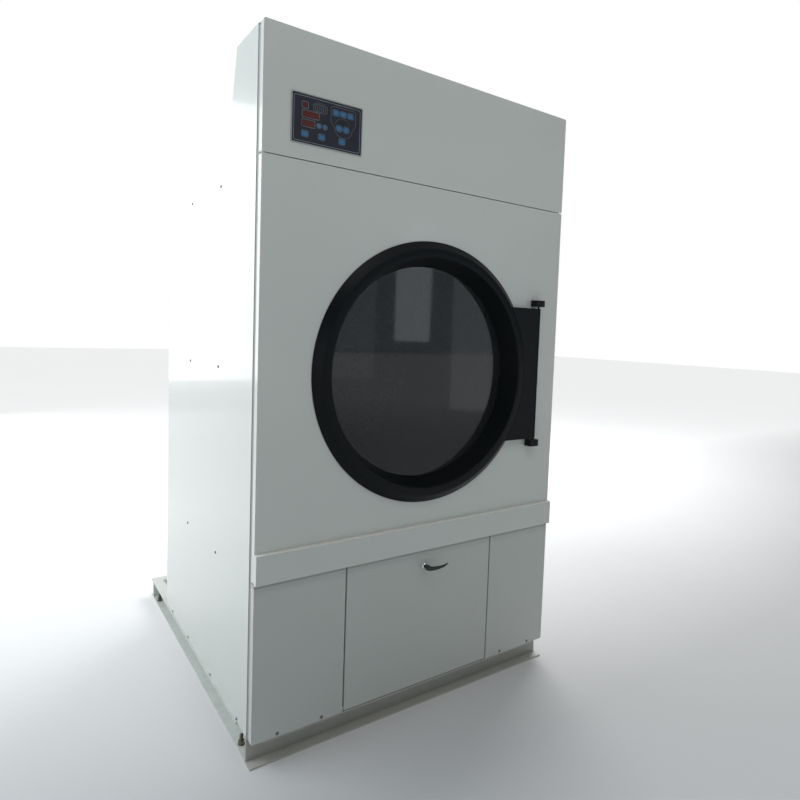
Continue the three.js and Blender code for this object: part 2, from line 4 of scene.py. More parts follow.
import bmesh
import bpy
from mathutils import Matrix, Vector


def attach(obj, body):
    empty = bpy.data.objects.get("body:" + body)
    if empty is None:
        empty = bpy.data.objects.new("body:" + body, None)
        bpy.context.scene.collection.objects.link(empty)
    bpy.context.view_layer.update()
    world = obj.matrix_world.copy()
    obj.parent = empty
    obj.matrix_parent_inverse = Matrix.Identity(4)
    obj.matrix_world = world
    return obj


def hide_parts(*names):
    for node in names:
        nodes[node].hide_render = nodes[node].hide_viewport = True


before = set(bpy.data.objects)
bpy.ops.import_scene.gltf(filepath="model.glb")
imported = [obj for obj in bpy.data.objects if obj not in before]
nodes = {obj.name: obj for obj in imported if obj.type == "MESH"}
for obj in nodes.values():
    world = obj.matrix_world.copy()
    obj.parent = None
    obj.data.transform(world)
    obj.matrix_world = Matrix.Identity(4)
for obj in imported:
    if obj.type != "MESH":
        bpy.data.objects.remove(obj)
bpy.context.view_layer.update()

MM = 0.001

# Places in millimetres: X from the machine's middle, Y from the front panel's face, Z from the floor.
MID_Y = 667.0               # the frame's origin
DOOR_Z = 1160.0             # axis of the loading door and the drum
LEDGE = (557.0, 645.5)      # bottom and top of the ledge trim
SIDE_X = 600.0              # outer face of a side panel
REAR_Y = 1068.2             # outer face of the rear panel
ROOF_Z = 1765.0             # top of the roof
LATCH_Z = 497.0             # axis of the lint door's latch
GEARMOTOR = (220.0, 235.0)  # axes that run along Y, as X and Z
FAN_MOTOR = (-150.0, 330.0)
EXHAUST = (-400.0, 330.0)
CABLE_GLAND = (440.0, 330.0)

# Ways for a fastener or a louvre to face.
UP = (0, 0, 1)
FORWARD = (0, -1, 0)
BACKWARD = (0, 1, 0)


def pt(x, y, z):
    """Millimetres from the front panel's face and the floor, to metres in the row frame."""
    return Vector((x * MM, (y - MID_Y) * MM, z * MM))


# ---------------------------------------------------------------- camera and surround
def make_camera():
    """The photograph's viewpoint and lens."""
    cam = bpy.data.objects.new("camera", bpy.data.cameras.new("camera"))
    bpy.context.collection.objects.link(cam)
    cam.location = (-1.1905, -2.2901, 1.2957)
    cam.rotation_euler = [math.radians(a) for a in (86.331, -2.022, -34.908)]
    cam.data.lens = 26.93
    cam.data.sensor_width = 36
    cam.data.shift_x = -0.0228
    cam.data.shift_y = -0.0365
    cam.data.clip_start = 0.05
    bpy.context.scene.camera = cam


def area_light(name, place, target, width, height, power, color=(1, 1, 1)):
    """Rectangle of light at a place, turned to a target; sizes in metres and power in watts."""
    light = bpy.data.lights.new(name, "AREA")
    light.shape = "RECTANGLE"
    light.size = width
    light.size_y = height
    light.energy = power
    light.color = color
    obj = bpy.data.objects.new(name, light)
    bpy.context.collection.objects.link(obj)
    obj.location = place
    aim = Vector(target) - Vector(place)
    obj.rotation_euler = aim.to_track_quat("-Z", "Y").to_euler()


def make_world():
    """Soft surround: bright behind and overhead, dim in front, and plain white where the camera sees it."""
    world = bpy.data.worlds.new("studio")
    bpy.context.scene.world = world
    world.use_nodes = True
    tree = world.node_tree
    tree.nodes.clear()
    coord = tree.nodes.new("ShaderNodeTexCoord")
    behind = spread(tree, part_of(tree, coord.outputs["Generated"], "Y"), 0.075, 0.56, -0.1, 0.45)
    overhead = spread(tree, part_of(tree, coord.outputs["Generated"], "Z"), 0.0, 0.30, 0.45, 0.85)
    soft_light = tree.nodes.new("ShaderNodeBackground")
    soft_light.inputs["Color"].default_value = (0.965, 0.985, 1.0, 1)
    tree.links.new(calc(tree, "MAXIMUM", behind, overhead), soft_light.inputs["Strength"])
    backdrop = tree.nodes.new("ShaderNodeBackground")
    backdrop.inputs["Color"].default_value = (1, 1, 1, 1)
    backdrop.inputs["Strength"].default_value = 1.0
    path = tree.nodes.new("ShaderNodeLightPath")
    mix = tree.nodes.new("ShaderNodeMixShader")
    tree.links.new(path.outputs["Is Camera Ray"], mix.inputs[0])
    tree.links.new(soft_light.outputs[0], mix.inputs[1])
    tree.links.new(backdrop.outputs[0], mix.inputs[2])
    out = tree.nodes.new("ShaderNodeOutputWorld")
    tree.links.new(mix.outputs[0], out.inputs[0])
    bpy.context.scene.view_settings.view_transform = "Standard"


# ---------------------------------------------------------------- materials
def shader(name):
    """A new material, with its node tree, its shader node and the object's coordinates."""
    m = bpy.data.materials.new(name)
    m.use_nodes = True
    tree = m.node_tree
    bsdf = tree.nodes["Principled BSDF"]
    coord = tree.nodes.new("ShaderNodeTexCoord")
    return m, tree, bsdf, coord.outputs["Object"]


def part_of(tree, vector, axis):
    """The X, Y or Z of a vector."""
    n = tree.nodes.new("ShaderNodeSeparateXYZ")
    tree.links.new(vector, n.inputs[0])
    return n.outputs[axis]


def calc(tree, operation, *values):
    """One sum on numbers or node outputs."""
    n = tree.nodes.new("ShaderNodeMath")
    n.operation = operation
    for socket, value in zip(n.inputs, values):
        if isinstance(value, (int, float)):
            socket.default_value = value
        else:
            tree.links.new(value, socket)
    return n.outputs[0]


def stretched(tree, vector, scale):
    mapping = tree.nodes.new("ShaderNodeMapping")
    mapping.inputs["Scale"].default_value = scale
    tree.links.new(vector, mapping.inputs["Vector"])
    return mapping.outputs["Vector"]


def noise(tree, vector, scale, detail=3.0, rough=0.5):
    n = tree.nodes.new("ShaderNodeTexNoise")
    n.inputs["Scale"].default_value = scale
    n.inputs["Detail"].default_value = detail
    n.inputs["Roughness"].default_value = rough
    tree.links.new(vector, n.inputs["Vector"])
    return n.outputs["Fac"]


def spread(tree, value, low, high, start=0.3, end=0.7):
    """Goes from low to high as the value goes from start to end, and no further."""
    r = tree.nodes.new("ShaderNodeMapRange")
    r.inputs["From Min"].default_value = start
    r.inputs["From Max"].default_value = end
    r.inputs["To Min"].default_value = low
    r.inputs["To Max"].default_value = high
    tree.links.new(value, r.inputs["Value"])
    return r.outputs["Result"]


def two_tone(tree, fac, a, b, start=0.3, end=0.7):
    """Goes from color a to color b as the factor goes from start to end."""
    ramp = tree.nodes.new("ShaderNodeValToRGB")
    ramp.color_ramp.elements[0].position = start
    ramp.color_ramp.elements[0].color = (*a, 1)
    ramp.color_ramp.elements[1].position = end
    ramp.color_ramp.elements[1].color = (*b, 1)
    tree.links.new(fac, ramp.inputs["Fac"])
    return ramp.outputs["Color"]


def blend_colors(tree, fac, a, b):
    """Mixes two colors, each a tuple or a node output."""
    mix = tree.nodes.new("ShaderNodeMix")
    mix.data_type = "RGBA"
    tree.links.new(fac, mix.inputs["Factor"])
    for socket, value in ((mix.inputs[6], a), (mix.inputs[7], b)):
        if isinstance(value, tuple):
            socket.default_value = (*value, 1)
        else:
            tree.links.new(value, socket)
    return mix.outputs[2]


def bump(tree, bsdf, height, strength, distance):
    b = tree.nodes.new("ShaderNodeBump")
    b.inputs["Strength"].default_value = strength
    b.inputs["Distance"].default_value = distance
    tree.links.new(height, b.inputs["Height"])
    tree.links.new(b.outputs["Normal"], bsdf.inputs["Normal"])


def shade(color, k):
    """A color made darker or lighter."""
    return tuple(min(1.0, c * k) for c in color)


# The darker band near the floor is dust, and on the front base channel it also serves as painted shade.
DUST_AND_SHADE = (0.42, 0.40, 0.36)
DUST_AND_SHADE_TOP = 0.35  # metres above the floor, where the dust ends


def paint(name, color, rough, peel=0.12, coat=0.0, floor_dust_and_shade=0.0, peel_scale=420, gloss=0.5, band=None):
    """Sprayed coat: orange peel, slow tone drift, dull patches and a darker band near the floor, dust that
    also serves as painted shade.

    band is (start, end, color): the paint turns to that color between two heights, in millimetres.
    """
    m, tree, bsdf, obj = shader(name)
    drift = noise(tree, obj, 2.2, 4)
    tone = two_tone(tree, drift, shade(color, 0.988), shade(color, 1.01))
    if floor_dust_and_shade:
        low = spread(tree, part_of(tree, obj, "Z"), floor_dust_and_shade, 0.0, 0.0, DUST_AND_SHADE_TOP)
        speck = spread(tree, noise(tree, obj, 28, 6, 0.7), 0.2, 1.0, 0.4, 0.65)
        tone = blend_colors(tree, calc(tree, "MULTIPLY", low, speck), tone, DUST_AND_SHADE)
    if band:
        start, end, band_color = band
        above = spread(tree, part_of(tree, obj, "Z"), 0.0, 0.85, start * MM, end * MM)
        tone = blend_colors(tree, above, tone, band_color)
    tree.links.new(tone, bsdf.inputs["Base Color"])
    smear = noise(tree, stretched(tree, obj, (1.0, 1.0, 0.35)), 9, 5, 0.6)
    tree.links.new(spread(tree, smear, rough - 0.006, rough + 0.008), bsdf.inputs["Roughness"])
    bsdf.inputs["Specular IOR Level"].default_value = gloss
    bsdf.inputs["Coat Weight"].default_value = coat
    bsdf.inputs["Coat Roughness"].default_value = 0.07
    bump(tree, bsdf, noise(tree, obj, peel_scale, 2), peel, 0.0004)
    return m


def metal(name, color, rough, grain_scale=220, strength=0.08, variation=0.12, grain=(1, 1, 1)):
    """Bare metal: a grain that can be stretched, and slow tone patches."""
    m, tree, bsdf, obj = shader(name)
    lines = noise(tree, stretched(tree, obj, grain), grain_scale, 4, 0.6)
    patch = noise(tree, obj, 12, 4)
    tree.links.new(
        two_tone(tree, patch, shade(color, 1 - variation), shade(color, 1 + variation * 0.6)),
        bsdf.inputs["Base Color"],
    )
    tree.links.new(spread(tree, lines, rough * 0.75, rough * 1.3), bsdf.inputs["Roughness"])
    bsdf.inputs["Metallic"].default_value = 1.0
    bump(tree, bsdf, lines, strength, 0.0003)
    return m


def spangled(name, color, rough):
    """Hot-dip galvanised sheet, with its crystal pattern."""
    m, tree, bsdf, obj = shader(name)
    cells = tree.nodes.new("ShaderNodeTexVoronoi")
    cells.inputs["Scale"].default_value = 70
    tree.links.new(obj, cells.inputs["Vector"])
    split = tree.nodes.new("ShaderNodeSeparateColor")
    tree.links.new(cells.outputs["Color"], split.inputs[0])
    tone = two_tone(tree, split.outputs[0], shade(color, 0.86), shade(color, 1.12), 0.1, 0.9)
    tree.links.new(tone, bsdf.inputs["Base Color"])
    tree.links.new(spread(tree, split.outputs[1], rough - 0.1, rough + 0.12, 0, 1), bsdf.inputs["Roughness"])
    bsdf.inputs["Metallic"].default_value = 0.9
    bump(tree, bsdf, noise(tree, obj, 300, 3), 0.06, 0.0003)
    return m


def soft(name, color, rough, scale=600, strength=0.2):
    """Rubber or plastic with a fine moulded grain."""
    m, tree, bsdf, obj = shader(name)
    grain = noise(tree, obj, scale, 3)
    drift = noise(tree, obj, 14, 4)
    tree.links.new(two_tone(tree, drift, shade(color, 0.85), shade(color, 1.2)), bsdf.inputs["Base Color"])
    tree.links.new(spread(tree, grain, rough - 0.06, rough + 0.06), bsdf.inputs["Roughness"])
    bump(tree, bsdf, grain, strength, 0.0003)
    return m


def clear_glass(name):
    """Tinted pane with a little haze."""
    m, tree, bsdf, obj = shader(name)
    haze = noise(tree, stretched(tree, obj, (1.0, 1.0, 0.5)), 7, 6, 0.65)
    tint = two_tone(tree, haze, (0.12, 0.137, 0.143), (0.14, 0.158, 0.164))
    tree.links.new(tint, bsdf.inputs["Base Color"])
    tree.links.new(spread(tree, haze, 0.035, 0.05, 0.35, 0.75), bsdf.inputs["Roughness"])
    bsdf.inputs["Transmission Weight"].default_value = 0.9
    bsdf.inputs["IOR"].default_value = 1.5
    return m


HOLES_AROUND = 190
HOLE_ROW = 0.014  # metres between two rows of holes


def perforated(name):
    """Stainless drum wall: rows of punched holes, staggered, in a satin sheet."""
    m, tree, bsdf, obj = shader(name)
    up = calc(tree, "SUBTRACT", part_of(tree, obj, "Z"), DOOR_Z * MM)
    turn = calc(tree, "ARCTAN2", up, part_of(tree, obj, "X"))
    around = calc(tree, "MULTIPLY", turn, HOLES_AROUND / (2 * math.pi))
    along = calc(tree, "DIVIDE", part_of(tree, obj, "Y"), HOLE_ROW)
    stagger = calc(tree, "MULTIPLY", calc(tree, "MODULO", calc(tree, "FLOOR", along), 2.0), 0.5)
    above_zero = calc(tree, "ADD", calc(tree, "ADD", around, stagger), 400.0)
    u = calc(tree, "SUBTRACT", calc(tree, "FRACT", above_zero), 0.5)
    v = calc(tree, "SUBTRACT", calc(tree, "FRACT", along), 0.5)
    squares = calc(tree, "ADD", calc(tree, "MULTIPLY", u, u), calc(tree, "MULTIPLY", v, v))
    far = calc(tree, "SQRT", squares)
    solid = spread(tree, far, 0.0, 1.0, 0.2, 0.26)
    lines = noise(tree, stretched(tree, obj, (1, 30, 1)), 60, 4)
    sheet = two_tone(tree, lines, (0.50, 0.51, 0.52), (0.66, 0.67, 0.68))
    # The holes are painted near-black: painted shade for the dark space seen through them.
    tree.links.new(blend_colors(tree, solid, (0.012, 0.012, 0.013), sheet), bsdf.inputs["Base Color"])
    tree.links.new(solid, bsdf.inputs["Metallic"])
    tree.links.new(spread(tree, lines, 0.22, 0.38), bsdf.inputs["Roughness"])
    bump(tree, bsdf, solid, 0.35, 0.0015)
    return m


CREAM = (0.722, 0.758, 0.718)
# Painted shadow: a dark line across the lower panels just under the ledge. Painted highlight: a light edge
# along the top of the ledge.
LEDGE_SHADOW_BAND = (LEDGE[0] - 15, LEDGE[0] - 11, (0.36, 0.38, 0.355))
LEDGE_HIGHLIGHT_BAND = (LEDGE[1] - 3, LEDGE[1] - 1, (0.98, 0.95, 0.88))
LOOKS = {
    "cream": paint("cream_powder_coat", CREAM, 0.26, 0.015, 0.5),
    "cream_low": paint("cream_base_coat", CREAM, 0.32, 0.05, 0.2, 0.3),
    # The lower panels are a darker copy of the cream, painted shade for the lower front, with the painted
    # shadow line under the ledge.
    "cream_kick": paint("cream_kick_shaded_coat", shade(CREAM, 0.84), 0.30, 0.02, 0.3, band=LEDGE_SHADOW_BAND),
    # The ledge is a slightly darker copy of the cream, painted shade, and turns light along its top edge, a
    # painted highlight.
    "cream_ledge": paint("cream_ledge_coat", shade(CREAM, 0.97), 0.26, 0.015, 0.5, band=LEDGE_HIGHLIGHT_BAND),
    # The front base channel is a darker copy of the cream, painted shade because it sits low in shade; its
    # floor dust adds to that painted shade.
    "cream_front": paint("shaded_front_coat", (0.50, 0.50, 0.455), 0.42, 0.05, floor_dust_and_shade=0.35),
    # The front posts are a darker copy of the cream: painted shade in the recessed gap between the side panel
    # and the front.
    "post": paint("post_recess_shade", (0.37, 0.375, 0.355), 0.45, 0.05),
    "black": paint("black_satin_paint", (0.0062, 0.0086, 0.0104), 0.34, peel_scale=700, gloss=0.16),
    "motor": paint("motor_enamel", (0.09, 0.13, 0.16), 0.42, 0.3, peel_scale=300),
    # The lever's metal is nearly black: a painted dark reflection standing in for the dark surroundings the
    # polished lever mirrors.
    "lever": metal("lever_dark_reflection", (0.070, 0.076, 0.074), 0.17, 60, 0.02, 0.06),
    "screw": metal("screw_steel", (0.26, 0.26, 0.26), 0.3, 260, 0.08, 0.16),
    "chrome": metal("polished_chrome", (0.86, 0.86, 0.87), 0.09, 60, 0.02, 0.04),
    "zinc": metal("zinc_plate", (0.60, 0.61, 0.60), 0.36, 260, 0.1, 0.16),
    "stainless": metal("satin_stainless", (0.60, 0.61, 0.62), 0.28, 60, grain=(1, 24, 1)),
    "anchor": metal("oiled_anchor_steel", (0.20, 0.185, 0.145), 0.30, 260, 0.1, 0.2),
    "turned": metal("turned_steel", (0.50, 0.51, 0.52), 0.30, 40, grain=(40, 1, 40)),
    "iron": metal("machined_casting", (0.16, 0.165, 0.17), 0.5, 180, 0.3, 0.25),
    "galv": spangled("galvanised_sheet", (0.55, 0.57, 0.58), 0.42),
    "rubber": soft("black_rubber", (0.016, 0.016, 0.017), 0.78, 500, 0.35),
    "film": soft("keypad_film", (0.020, 0.023, 0.036), 0.34, 900, 0.05),
    "key": soft("key_blue", (0.040, 0.165, 0.34), 0.42, 700, 0.08),
    "line": soft("printed_line", (0.20, 0.22, 0.26), 0.45, 700, 0.05),
    "border": soft("printed_border", (0.30, 0.32, 0.37), 0.45, 700, 0.05),
    "display": soft("display_red", (0.115, 0.026, 0.022), 0.22, 400, 0.03),
    "led": soft("led_window", (0.040, 0.044, 0.052), 0.25, 400, 0.03),
    "dark": soft("dark_plastic", (0.02, 0.021, 0.023), 0.5, 500, 0.2),
    "glass": clear_glass("tinted_glass"),
    "drum": perforated("perforated_stainless"),
}


# ---------------------------------------------------------------- mesh helpers
def piece(name, verts, faces, look, body, replaces=(), slot=None, smooth=False, bevel=0.0, segments=2):
    """One new object in the row frame, riding on a CAD body."""
    mesh = bpy.data.meshes.new(name)
    mesh.from_pydata([tuple(v) for v in verts], [], faces)
    bm = bmesh.new()
    bm.from_mesh(mesh)
    bmesh.ops.recalc_face_normals(bm, faces=bm.faces)
    bm.to_mesh(mesh)
    bm.free()
    mesh.polygons.foreach_set("use_smooth", [smooth] * len(mesh.polygons))
    obj = bpy.data.objects.new(name, mesh)
    bpy.context.collection.objects.link(obj)
    mesh.materials.append(LOOKS[look])
    if bevel:
        soften(obj, bevel, segments)
    if replaces:
        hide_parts(*replaces)
    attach(obj, body)
    return obj


def soften(obj, width, segments=2, angle=35):
    """Rounded edges, shaded smooth across the rounding only."""
    mod = obj.modifiers.new("edge", "BEVEL")
    mod.width = width * MM
    mod.segments = segments
    mod.limit_method = "ANGLE"
    mod.angle_limit = math.radians(angle)
    mod.harden_normals = True
    obj.data.polygons.foreach_set("use_smooth", [True] * len(obj.data.polygons))


def split_edges(obj, angle):
    """Sharp shading where two faces turn by more than an angle in degrees."""
    obj.modifiers.new("split", "EDGE_SPLIT").split_angle = math.radians(angle)


def circle(a, b, radius, count, phase=0):
    """Points about (a, b). The first is turned by phase, a share of the step between two points."""
    turns = [2 * math.pi * (j + phase) / count for j in range(count)]
    return [(a + radius * math.cos(t), b + radius * math.sin(t)) for t in turns]


def rounded(a0, a1, b0, b1, r, steps=5):
    """Rectangle with rounded corners."""
    out = []
    corners = ((a1 - r, b1 - r, 0), (a0 + r, b1 - r, 90), (a0 + r, b0 + r, 180), (a1 - r, b0 + r, 270))
    for ca, cb, start in corners:
        for i in range(steps + 1):
            t = math.radians(start + 90 * i / steps)
            out.append((ca + r * math.cos(t), cb + r * math.sin(t)))
    return out


def tile(a, b, half_a, half_b, r, steps=5):
    """Rounded rectangle about the point (a, b)."""
    return rounded(a - half_a, a + half_a, b - half_b, b + half_b, r, steps)


def facing(normal):
    """Three unit vectors: along the normal, and two across it."""
    n = Vector(normal).normalized()
    side = n.orthogonal().normalized()
    return n, side, n.cross(side)


class Build:
    """Collects vertices (millimetres, from the front panel's face and the floor) and faces."""

    def __init__(self):
        self.verts = []
        self.faces = []

    def add(self, verts, faces):
        base = len(self.verts)
        self.verts.extend(pt(*v) for v in verts)
        self.faces.extend([tuple(base + i for i in f) for f in faces])

    def rings(self, rings, close=True, cap_start=False, cap_end=False):
        """Joins rings of equal length with quads; close wraps the last ring to the first."""
        n = len(rings[0])
        verts = [v for ring in rings for v in ring]
        faces = []
        last = len(rings) if close else len(rings) - 1
        for i in range(last):
            a = i * n
            b = ((i + 1) % len(rings)) * n
            for j in range(n):
                k = (j + 1) % n
                faces.append((a + j, a + k, b + k, b + j))
        if cap_start:
            faces.append(tuple(range(n)))
        if cap_end:
            faces.append(tuple(range((len(rings) - 1) * n, len(rings) * n)))
        self.add(verts, faces)

    def lathe(self, profile, x, z, count):
        """Closed profile of (radius, y), turned about a line along Y; radius 0 ends are capped."""
        open_axis = profile[0][0] == 0 and profile[-1][0] == 0
        body = profile[1:-1] if open_axis else profile
        rings = [[(a, y, c) for a, c in circle(x, z, r, count)] for r, y in body]
        self.rings(rings, close=not open_axis, cap_start=open_axis, cap_end=open_axis)

    def prism(self, outline, direction, start, end):
        """Outline in the two other axes, run from start to end along Y or Z."""
        def place(a, b, c):
            return {"Y": (a, c, b), "Z": (a, b, c)}[direction]

        self.rings(
            [[place(a, b, start) for a, b in outline], [place(a, b, end) for a, b in outline]],
            close=False, cap_start=True, cap_end=True,
        )

    def block(self, x0, x1, y0, y1, z0, z1):
        self.prism([(x0, y0), (x1, y0), (x1, y1), (x0, y1)], "Z", z0, z1)

    def head(self, place, normal, radius, height, socket=True, sides=20):
        """Button-head screw with a hexagon socket, or a plain head; six sides make a hexagon bolt."""
        n, side, other = facing(normal)

        def ring(r, h, hexagon=False):
            out = []
            for j in range(sides):
                t = 2 * math.pi * j / sides
                k = r
                if hexagon:
                    wedge = (t % (math.pi / 3)) - math.pi / 6
                    k = r * math.cos(math.pi / 6) / math.cos(wedge)
                v = Vector(place) + n * h + (side * math.cos(t) + other * math.sin(t)) * k
                out.append(tuple(v))
            return out

        rings = [ring(radius, 0), ring(radius, height * 0.25), ring(radius * 0.92, height * 0.62),
                 ring(radius * 0.72, height * 0.92), ring(radius * 0.56, height)]
        if socket:
            rings += [ring(radius * 0.5, height, True), ring(radius * 0.47, height * 0.35, True)]
        self.rings(rings, close=False, cap_end=True, cap_start=True)

    def washer(self, place, normal, radius, thick, sides=24):
        """Round washer with its outer edge eased."""
        n, side, other = facing(normal)
        rings = []
        for r, h in ((radius, 0), (radius, thick * 0.6), (radius * 0.94, thick)):
            rings.append([
                tuple(Vector(place) + n * h + (side * math.cos(t) + other * math.sin(t)) * r)
                for t in (2 * math.pi * j / sides for j in range(sides))
            ])
        self.rings(rings, close=False, cap_start=True, cap_end=True)

    def make(self, name, look, body, **more):
        return piece(name, self.verts, self.faces, look, body, **more)


def turned(name, profile, look, body, x=0.0, z=DOOR_Z, count=160, **more):
    """A new piece from a lathe profile, about the door's axis unless told otherwise."""
    b = Build()
    b.lathe(profile, x, z, count)
    split_edges(b.make(name, look, body, smooth=True, **more), 28)


# ---------------------------------------------------------------- CAD nodes that stay: edges and finish
# Look, rounding of the edges in mm, its segments, the least angle that is rounded, and the nodes.
FINISHES = (
    ("cream", 1.1, 3, 50, ("front_panel", "control_fascia")),
    ("cream_ledge", 1.1, 3, 50, ("ledge_trim",)),
    ("cream_kick", 1.1, 3, 50, ("lower_panel_left", "lower_panel_right", "lint_door")),
    ("cream", 0.5, 2, 50, ("side_panel_left", "side_panel_right", "top_cover", "hood_shell", "rear_panel")),
    ("cream_low", 1.2, 2, 50,
     ("base_channel_rear", "base_channel_left", "base_channel_right", "base_crossmember")),
    ("cream_front", 1.2, 2, 50, ("base_channel_front",)),
    ("post", 0.4, 2, 50, ("front_post_left", "front_post_right")),
    ("galv", 0.4, 2, 50, ("lint_chamber", "blower_housing", "heater_box", "control_box")),
    ("zinc", 0.8, 2, 50, ("lint_screen",)),
    ("zinc", 0.5, 2, 50, ("lint_hinge_left", "lint_hinge_right")),
    ("zinc", 0.3, 1, 50, ("blower_impeller",)),
    ("zinc", 0.6, 2, 50, ("control_bezel",)),
    ("film", 0.2, 1, 50, ("control_overlay",)),
    ("iron", 2.0, 2, 50, ("bearing_housing",)),
    ("black", 0.8, 3, 50, ("door_hinge_plate",)),
    ("black", 2.2, 3, 40, ("hinge_block_upper", "hinge_block_lower")),
)


def carry_over():
    """CAD nodes that keep their shape get rounded edges and a finish."""
    for look, width, segments, angle, names in FINISHES:
        for name in names:
            obj = nodes[name]
            obj.data.materials.clear()
            obj.data.materials.append(LOOKS[look])
            soften(obj, width, segments, angle)


# ---------------------------------------------------------------- loading door
def loading_door():
    ring = [
        (437, -0.6), (437, -3.0), (436.4, -4.2), (435, -5.2), (414.2, -21.6), (413.2, -22.6), (412.4, -22.9),
        (411.6, -22.7), (410.9, -23.6), (409.6, -24.8), (407.6, -25.3), (386.4, -26.9), (384.6, -26.9),
        (383.2, -26.2), (382.2, -24.9), (381.4, -23.0), (357.6, 39.2), (357.0, 41.0), (357.0, 43.6),
        (376, 43.6), (377.8, 20), (377.8, -0.6),
    ]
    turned("door_ring_skin", ring, "black", "loading_door", count=256,
           replaces=("door_ring",), slot="door_black")
    glass = [(0, 44.05), (364.5, 44.05), (365.8, 45.0), (365.8, 49.0), (364.5, 49.95), (0, 49.95)]
    turned("door_glass_pane", glass, "glass", "loading_door", replaces=("door_glass",), slot="door_glass")
    retainer = [
        (350.6, 50.3), (367.4, 50.3), (367.4, 44.2), (375.4, 44.2), (376, 44.8), (376, 53.2),
        (375.2, 54), (351.2, 54), (350, 52.8), (350, 50.9),
    ]
    turned("glass_clamp_ring", retainer, "zinc", "loading_door",
           replaces=("glass_retainer",), slot="zinc_steel")
    seal = [
        (379.3, -0.35), (391.5, -0.35), (392.6, 1.5), (392.9, 4), (392.2, 7), (390.2, 9.6), (387.4, 11.6),
        (384.4, 12), (381.6, 11.2), (379.6, 9.4), (379.2, 6), (379.2, 2),
    ]
    turned("door_seal_bulb", seal, "rubber", "loading_door", replaces=("door_seal",), slot="rubber")
    screws = Build()
    for x, z in circle(0, DOOR_Z, 363, 12, 0.5):
        screws.head((x, 53.2, z), BACKWARD, 4.2, 0.8)
    screws.make("glass_clamp_screws", "zinc", "loading_door")


# ---------------------------------------------------------------- drum, shaft, pulleys, belts
def drum():
    shell = [
        (407.4, 80.6), (408.6, 79.4), (410.6, 79.2), (412, 80), (484, 80), (488.6, 81.2), (490, 84),
        (490, 876), (488.6, 879), (485, 880), (40, 880), (40, 877), (484, 877), (487, 874), (487, 86),
        (484, 83), (412, 83), (410.2, 84.4), (408, 84), (407.2, 82.4),
    ]
    turned("drum_wall", shell, "drum", "drum", replaces=("drum_shell",), slot="stainless")
    ribs = Build()
    wall = 487.5  # just outside the drum wall's inner face
    section = [
        (-50, wall - 3.5), (0, wall - 0.8), (50, wall - 3.5), (44, wall - 9),
        (20, wall - 60), (12, wall - 84), (7, wall - 90.5), (0, wall - 92.5),
        (-7, wall - 90.5), (-12, wall - 84), (-20, wall - 60), (-44, wall - 9),
    ]
    for i in range(3):
        a = 2 * math.pi * i / 3 + math.pi / 2
        outline = [
            (r * math.cos(a) - t * math.sin(a), DOOR_Z + r * math.sin(a) + t * math.cos(a))
            for t, r in section
        ]
        ribs.prism(outline, "Y", 130, 830)
    ribs.make("drum_lifters", "stainless", "drum", bevel=1.5)
    shaft = [
        (0, 868), (38.7, 868), (39.7, 869), (39.7, 880.3), (164, 880.3), (165, 881.3), (165, 891), (164, 892),
        (70, 896), (52, 906), (47, 930), (36, 930), (35, 931), (35, 1163.5), (33.5, 1165), (0, 1165),
    ]
    turned("drum_shaft_turned", shaft, "turned", "drum", count=96,
           replaces=("drum_shaft",), slot="zinc_steel")
    bolts = Build()
    for x, z in circle(0, DOOR_Z, 135, 8):
        bolts.head((x, 892, z), BACKWARD, 11, 8, False, 6)
    for x, z in circle(0, DOOR_Z, 49, 3):
        bolts.head((x, 1158, z), BACKWARD, 7, 5)
    bolts.make("drum_hub_bolts", "zinc", "drum")
    collar = [
        (398, 2.6), (398.8, 1.8), (435.4, 1.8), (436, 2.4), (436, 3.6), (402, 3.6), (400.4, 5), (400, 8),
        (400, 97.2), (399.3, 98), (398.7, 98), (398, 97.2),
    ]
    turned("drum_collar_rolled", collar, "galv", "cabinet",
           replaces=("drum_collar",), slot="galvanised")


BELT_Y = (1108.0, 1125.0, 1142.0)
BIG_R = 300.0
SMALL_R = 60.0
GROOVE = 9.5


def grooved(outer):
    """Rim of a belt pulley, from its front edge to its back edge."""
    out = [(outer - 1, 1100), (outer, 1101)]
    for y in BELT_Y:
        out += [(outer, y - 6.9), (outer - GROOVE, y - 3.6), (outer - GROOVE, y + 3.6), (outer, y + 6.9)]
    return out + [(outer, 1149), (outer - 1, 1150)]


